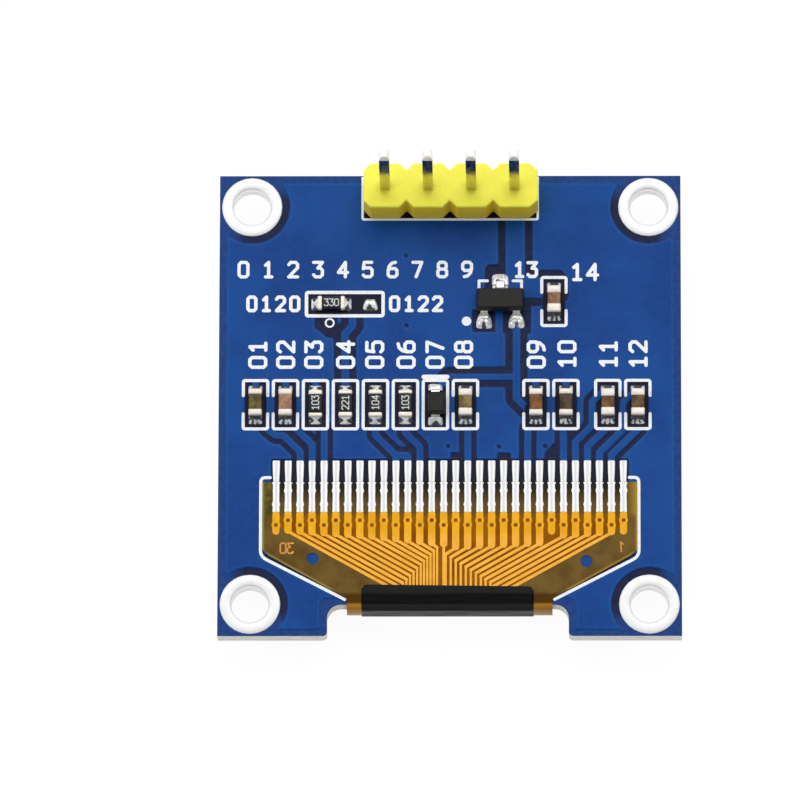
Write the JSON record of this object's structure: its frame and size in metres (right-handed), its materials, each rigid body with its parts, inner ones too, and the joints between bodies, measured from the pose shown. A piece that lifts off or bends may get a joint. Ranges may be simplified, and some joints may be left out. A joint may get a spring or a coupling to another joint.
{
  "type": "oled display module",
  "caption": "Small display module: a glass display panel taped under a blue circuit board, with a folded flexible circuit, soldered chip parts, corner holes and an upright pin header.",
  "frame": {"origin": "under the middle of the board's outline, on the display face that the module lies on", "axes": "+X across the board, +Y from the notched edge with the flexible circuit to the edge with the pin header, +Z from the display face up out of the component side"},
  "size_m": [0.0272, 0.0279, 0.0123],
  "materials": {
    "fibreglass": "woven glass laminate, sawn pale edge, coated blue on the display side",
    "blue_mask": "satin solder mask over copper foil",
    "white_ink": "flat printed ink",
    "yellow_plastic": "satin moulded",
    "solder": "bright, slightly grainy",
    "polarizer_film": "smooth dark film",
    "clear_glass": "polished",
    "seal_resin": "cured resin",
    "emitter_stack": "thin film",
    "desiccant": "pressed sheet",
    "silicon": "bare die",
    "foam_tape": "matt foam with adhesive on both faces",
    "amber_film": "translucent polyimide",
    "tinned_copper": "bright tinned",
    "covered_copper": "copper seen through a thin amber film",
    "black_tape": "semi-matt",
    "black_moulding": "fine-grained epoxy",
    "lead_plating": "tin plated",
    "terminal_tin": "plated, slightly rough",
    "ring_tin": "levelled tin, bright",
    "pin_plating": "bright plated",
    "capacitor_ceramic": "fired ceramic, brown, differs from part to part",
    "resistor_coat": "black glaze"
  },
  "bodies": {
    "root": {"bend_tape": "black_tape", "capacitor_1": "capacitor_ceramic", "capacitor_1_terminals": "terminal_tin", "capacitor_2": "capacitor_ceramic", "capacitor_2_terminals": "terminal_tin", "capacitor_3": "capacitor_ceramic", "capacitor_3_terminals": "terminal_tin", "capacitor_4": "capacitor_ceramic", "capacitor_4_terminals": "terminal_tin", "capacitor_5": "capacitor_ceramic", "capacitor_5_terminals": "terminal_tin", "capacitor_6": "capacitor_ceramic", "capacitor_6_terminals": "terminal_tin", "capacitor_7": "capacitor_ceramic", "capacitor_7_terminals": "terminal_tin", "capacitor_8": "capacitor_ceramic", "capacitor_8_terminals": "terminal_tin", "chip_solder": "solder", "desiccant_sheet": "desiccant", "diode_body": "black_moulding", "diode_leads": "lead_plating", "driver_chip": "silicon", "edge_seal": "seal_resin", "emitter_film": "emitter_stack", "flex_film": "amber_film", "flex_fingers": "tinned_copper", "flex_lands": "tinned_copper", "flex_tracks": "covered_copper", "front_glass": "clear_glass", "header_housing": "yellow_plastic", "header_pin_1": "pin_plating", "header_pin_2": "pin_plating", "header_pin_3": "pin_plating", "header_pin_4": "pin_plating", "header_solder": "solder", "laminate": "fibreglass", "mounting_ring_1": "ring_tin", "mounting_ring_2": "ring_tin", "mounting_ring_3": "ring_tin", "mounting_ring_4": "ring_tin", "mounting_tape": "foam_tape", "polarizer": "polarizer_film", "rear_glass": "clear_glass", "regulator_body": "black_moulding", "regulator_leads": "lead_plating", "resistor_1": "resistor_coat", "resistor_1_terminals": "terminal_tin", "resistor_2": "resistor_coat", "resistor_2_terminals": "terminal_tin", "resistor_3": "resistor_coat", "resistor_3_terminals": "terminal_tin", "resistor_4": "resistor_coat", "resistor_4_terminals": "terminal_tin", "resistor_5": "resistor_coat", "resistor_5_terminals": "terminal_tin", "silkscreen_back": "white_ink", "solder_mask_back": "blue_mask"}
  },
  "joints": []
}
